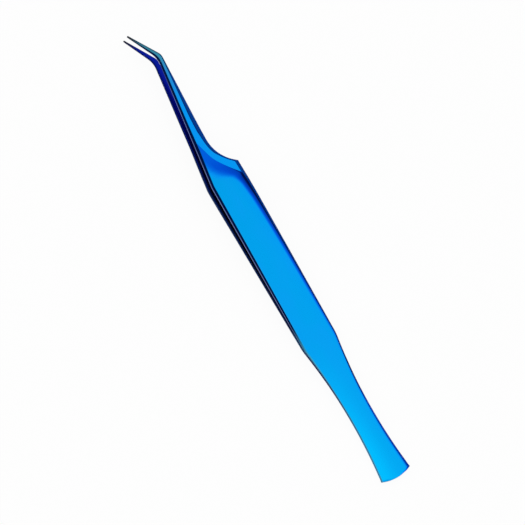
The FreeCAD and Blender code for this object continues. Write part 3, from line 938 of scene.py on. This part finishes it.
# %% colours of the painted edge highlight and the worn tip
INNER_TO_OUTER = (-0.6, -0.12)
HIGHLIGHT_START, HIGHLIGHT_END, WALL_TILTS = (0.02, 0.05), (0.15, 0.3), (0.5, 0.75)
FADING_STATIONS, FADING = (116.0, 128.0), -0.8
FAR_SIDE_TILTS, FAR_SIDE_LOSS = (0.0, 0.5), -0.5
WORN_STATIONS, WORN_STRENGTH = (135.5, 139.6), 0.85
EDGE_HIGHLIGHT_VIOLET, WORN_STEEL = paint(136, 142, 184), paint(44, 46, 50)
outer_share = rise(tree, product(tree, upward, above_middle), INNER_TO_OUTER)
colour = mixed(tree, outer_share, inner, outer)
downward = product(tree, upward, -1.0)
faded = scaled(tree, rise(tree, from_tail, FADING_STATIONS), FADING, 1.0)
weaker = scaled(tree, rise(tree, tilt, FAR_SIDE_TILTS), FAR_SIDE_LOSS, 1.0)
# painted highlight: a fine violet line on the upper arm's walls that look down a little
edge_highlight = product(tree, rise(tree, downward, HIGHLIGHT_START), fall(tree, downward, HIGHLIGHT_END),
                 calculate(tree, "MAXIMUM", above_middle, 0.0),
                 rise(tree, steepness, WALL_TILTS), product(tree, faded, weaker))
colour = mixed(tree, edge_highlight, colour, EDGE_HIGHLIGHT_VIOLET)
worn = product(tree, rise(tree, from_tail, WORN_STATIONS), WORN_STRENGTH)
colour = mixed(tree, worn, colour, WORN_STEEL)
print("the film takes", len(tree.nodes), "nodes")

# %% [markdown]
# ### Gloss and marks
#
# The film lies on metal, so the shader is a metal with the film's colour. The walls are seen at a
# low angle, where bare metal would turn white, and the film's own dark glint there is the shader's
# Specular Tint. The belt's patches change the roughness, and its fine lines are a bump of a few
# hundredths of a millimetre.

# %% the polished, coated steel
FILM_GLINT = (0.45, 0.52, 0.7, 1)
FILM_ROUGHNESS, PATCH_ROUGHNESS = 0.2, 0.16
BUMP_STRENGTH, BUMP_DEPTH = 0.06, 0.02 * MM
feed(tree, film_shader.inputs["Base Color"], colour)
film_shader.inputs["Specular Tint"].default_value = FILM_GLINT
feed(tree, film_shader.inputs["Roughness"],
     scaled(tree, marks.outputs["Patch"], PATCH_ROUGHNESS, FILM_ROUGHNESS))
bump = new_node(tree, "ShaderNodeBump")
for name, value in (("Strength", BUMP_STRENGTH), ("Distance", BUMP_DEPTH),
                    ("Height", marks.outputs["Height"])):
    feed(tree, bump.inputs[name], value)
feed(tree, film_shader.inputs["Normal"], bump.outputs["Normal"])
for piece in (upper_arm, lower_arm):
    piece.data.materials.clear()
    piece.data.materials.append(blue_film)
print("the arms wear", blue_film.name)

# %% [markdown]
# ## Bare steel for the welds
#
# The weld nuggets sit between the arms, where no light comes. They are still real pieces of the
# frame, so they get the dull, slightly blotched steel that was molten once. It uses the same
# grinding group, coarser and rougher.

# %% weld steel
WELD_LINES, WELD_PATCHES = 2500.0, 900.0
WELD_ROUGHNESS, LINE_ROUGHNESS = 0.35, 0.3
DARK_STEEL, LIGHT_STEEL = paint(150, 150, 154), paint(205, 204, 200)
weld_steel, tree, weld_shader, place = new_metal("fused bare steel")
marks = grinding_node(tree, place.outputs["Object"], WELD_LINES, WELD_PATCHES)
feed(tree, weld_shader.inputs["Base Color"],
     mixed(tree, marks.outputs["Patch"], DARK_STEEL, LIGHT_STEEL))
feed(tree, weld_shader.inputs["Roughness"],
     scaled(tree, marks.outputs["Height"], LINE_ROUGHNESS, WELD_ROUGHNESS))
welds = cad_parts["spot_welds"]
welds.data.materials.clear()
welds.data.materials.append(weld_steel)
print("the welds wear", weld_steel.name)

# %% [markdown]
# ## Studio
#
# The picture has a plain white ground. The floor is a white sheet that the camera sees as white,
# with a faint soft shadow. The world is white for the camera and in reflections, so the polished
# film mirrors a bright room, and dimmer for the light that falls on the floor.

# %% floor
FLOOR_SIZE = 4.0
PALE, WHITE = (0.9, 0.9, 0.9, 1), (1, 1, 1, 1)
SHEET_GLOW, SHEET_ROUGHNESS, SHEET_GLOSS = 0.93, 0.9, 0.1


def see_white(tree, strength, dull):
    """Mixes a dull shader with white light for what the camera and reflections see."""
    look = new_node(tree, "ShaderNodeLightPath")
    seen = calculate(tree, "MAXIMUM", look.outputs["Is Camera Ray"], look.outputs["Is Glossy Ray"])
    seen = calculate(tree, "MAXIMUM", seen, look.outputs["Is Transmission Ray"])
    white = new_node(tree, "ShaderNodeEmission")
    white.inputs["Color"].default_value = WHITE
    blend = new_node(tree, "ShaderNodeMixShader")
    for number, value in enumerate((product(tree, seen, strength), dull, white.outputs[0])):
        feed(tree, blend.inputs[number], value)
    return blend.outputs[0]


bpy.ops.object.select_all(action="DESELECT")
bpy.ops.mesh.primitive_grid_add(x_subdivisions=2, y_subdivisions=2, size=FLOOR_SIZE,
                                location=(0, 0, 0))
floor = bpy.context.object
floor.name = "floor"
floor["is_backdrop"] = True
sheet = bpy.data.materials.new("white sheet")
sheet.use_nodes = True
matt = sheet.node_tree.nodes["Principled BSDF"]
for name, value in (("Base Color", PALE), ("Roughness", SHEET_ROUGHNESS),
                    ("Specular IOR Level", SHEET_GLOSS)):
    matt.inputs[name].default_value = value
feed(sheet.node_tree, sheet.node_tree.nodes["Material Output"].inputs["Surface"],
     see_white(sheet.node_tree, SHEET_GLOW, matt.outputs[0]))
floor.data.materials.append(sheet)
print("the floor is", FLOOR_SIZE, "m wide")

# %% world
ROOM_STRENGTH = 0.95
world = bpy.data.worlds.new("bright room")
bpy.context.scene.world = world
world.use_nodes = True
room = world.node_tree.nodes["Background"]
room.inputs["Color"].default_value = PALE
room.inputs["Strength"].default_value = ROOM_STRENGTH
feed(world.node_tree, world.node_tree.nodes["World Output"].inputs["Surface"],
     see_white(world.node_tree, 1.0, room.outputs[0]))
print("the room shines at", ROOM_STRENGTH)

# %% [markdown]
# Two large soft lamps stand over the tool, the stronger one on the side of the bent points. They
# are far bigger than the tool, so their edges are never seen in the polish.


# %% lamps
def lamp(name, place, size, power):
    """A square lamp at a place, in metres and watts, turned to the origin."""
    bpy.ops.object.light_add(type="AREA", location=place)
    light = bpy.context.object
    light.name = name
    light.data.shape = "SQUARE"
    light.data.size = size
    light.data.energy = power
    light.rotation_mode = "QUATERNION"
    light.rotation_quaternion = Vector(place).to_track_quat("Z", "Y")
    print(name, "is", round(Vector(place).length, 2), "m away")


lamp("key lamp", place=(-0.35, -0.5, 0.75), size=0.8, power=0.7)
lamp("fill lamp", place=(0.5, 0.45, 0.8), size=0.9, power=0.3)

# %% [markdown]
# ## Camera
#
# The picture looks down on the tool from the side of the bent points, with the camera rolled so
# that the tail is at the lower right. A long lens from two thirds of a metre away gives the same
# slight narrowing towards the points.

# %% camera
TARGET = Vector((1.68, -2.975, 3.0)) * MM
TURN, RISE, ROLL, HALF_VIEW = (math.radians(angle) for angle in (12.092, 67.913, 48.23, 6.024))
DISTANCE = 672.407
SENSOR = 36.0
back = Vector((math.sin(TURN) * math.cos(RISE), -math.cos(TURN) * math.cos(RISE), math.sin(RISE)))
bpy.ops.object.camera_add(location=TARGET + back * DISTANCE * MM)
camera = bpy.context.object
camera.rotation_mode = "QUATERNION"
camera.rotation_quaternion = back.to_track_quat("Z", "Y") @ Quaternion((0, 0, 1), ROLL)
camera.data.sensor_width = SENSOR
camera.data.lens = SENSOR / 2 / math.tan(HALF_VIEW)
camera.data.clip_start = 0.01
bpy.context.scene.camera = camera
bpy.context.scene.view_settings.view_transform = "Standard"
print("lens", round(camera.data.lens, 1), "mm")

# %% [markdown]
# ## Last look at the sizes
#
# The dressed tool has to stay inside the frame's box, printed with the arms; its own is printed here.

# %% sizes and finish
low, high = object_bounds()
{"cad": [list(cad_low), list(cad_high)], "visual": [list(low), list(high)]}
print("dressed from", in_mm(low), "to", in_mm(high), "mm")
